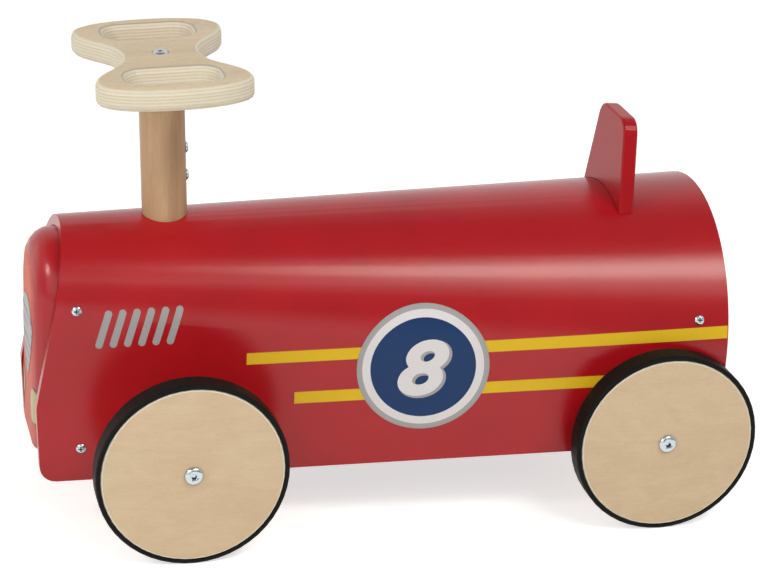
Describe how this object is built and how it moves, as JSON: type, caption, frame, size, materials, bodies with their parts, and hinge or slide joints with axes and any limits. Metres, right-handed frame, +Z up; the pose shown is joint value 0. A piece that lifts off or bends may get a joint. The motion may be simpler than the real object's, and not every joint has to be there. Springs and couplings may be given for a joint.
{
  "type": "kids ride-on car",
  "caption": "Wooden ride-on car: tapered bent-plywood body, rounded nose, board seat back, butterfly steering handle on a round post, and wooden disc wheels with rubber tyres.",
  "frame": {"origin": "middle of the bounding box's base, on the ground between the wheels", "axes": "+Z up, -Y towards the front of the car, +X towards the car's left side"},
  "size_m": [0.2778, 0.5566, 0.3651],
  "materials": {
    "red_paint": "satin red paint on plywood",
    "nose_paint": "satin red paint on solid wood",
    "disc_plywood": "clear matt lacquer",
    "handle_plywood": "clear matt lacquer",
    "post_wood": "clear matt lacquer",
    "inner_wood": "bare planed wood",
    "tyre_rubber": "matt black rubber",
    "bush_nylon": "natural nylon",
    "screw_steel": "zinc plated",
    "axle_steel": "bright drawn bar"
  },
  "bodies": {
    "chassis": {"body_shell": "red_paint", "nose_block": "nose_paint", "rear_panel": "red_paint", "rear_axle_block": "inner_wood", "backrest": "red_paint", "backrest_screw_left": "screw_steel", "backrest_screw_right": "screw_steel", "steering_board_lower": "inner_wood", "steering_board_upper": "inner_wood", "screw_front_upper_left": "screw_steel", "screw_front_lower_left": "screw_steel", "screw_rear_upper_left": "screw_steel", "screw_rear_lower_left": "screw_steel", "screw_front_upper_right": "screw_steel", "screw_front_lower_right": "screw_steel", "screw_rear_upper_right": "screw_steel", "screw_rear_lower_right": "screw_steel", "rear_axle": "axle_steel", "washer_rear_left": "axle_steel", "washer_rear_right": "axle_steel", "cap_screw_rear_left": "screw_steel", "cap_screw_rear_right": "screw_steel"},
    "steering": {"steering_post": "post_wood", "post_bolt_upper": "screw_steel", "post_bolt_lower": "screw_steel", "post_collar": "inner_wood", "thrust_washer": "bush_nylon", "handle": "handle_plywood", "handle_screw": "screw_steel", "front_axle_beam": "inner_wood", "beam_screw": "screw_steel", "front_axle": "axle_steel", "washer_front_left": "axle_steel", "washer_front_right": "axle_steel", "cap_screw_front_left": "screw_steel", "cap_screw_front_right": "screw_steel"},
    "wheel_front_left": {"wheel_disc_front_left": "disc_plywood", "tyre_front_left": "tyre_rubber", "bush_front_left": "bush_nylon"},
    "wheel_front_right": {"wheel_disc_front_right": "disc_plywood", "tyre_front_right": "tyre_rubber", "bush_front_right": "bush_nylon"},
    "wheel_rear_left": {"wheel_disc_rear_left": "disc_plywood", "tyre_rear_left": "tyre_rubber", "bush_rear_left": "bush_nylon"},
    "wheel_rear_right": {"wheel_disc_rear_right": "disc_plywood", "tyre_rear_right": "tyre_rubber", "bush_rear_right": "bush_nylon"}
  },
  "joints": [
    {"name": "steer", "type": "hinge", "parent": "chassis", "child": "steering", "pos_m": [0, -0.16645, 0.07404], "axis": [0, -0.0349, 0.9994], "range_deg": [-18, 18]},
    {"name": "spin_front_left", "type": "hinge", "parent": "steering", "child": "wheel_front_left", "pos_m": [0.127, -0.17055, 0.0739], "axis": [1, 0, 0], "continuous": true},
    {"name": "spin_front_right", "type": "hinge", "parent": "steering", "child": "wheel_front_right", "pos_m": [-0.127, -0.17055, 0.0739], "axis": [1, 0, 0], "continuous": true},
    {"name": "spin_rear_left", "type": "hinge", "parent": "chassis", "child": "wheel_rear_left", "pos_m": [0.127, 0.20445, 0.0739], "axis": [1, 0, 0], "continuous": true},
    {"name": "spin_rear_right", "type": "hinge", "parent": "chassis", "child": "wheel_rear_right", "pos_m": [-0.127, 0.20445, 0.0739], "axis": [1, 0, 0], "continuous": true}
  ]
}
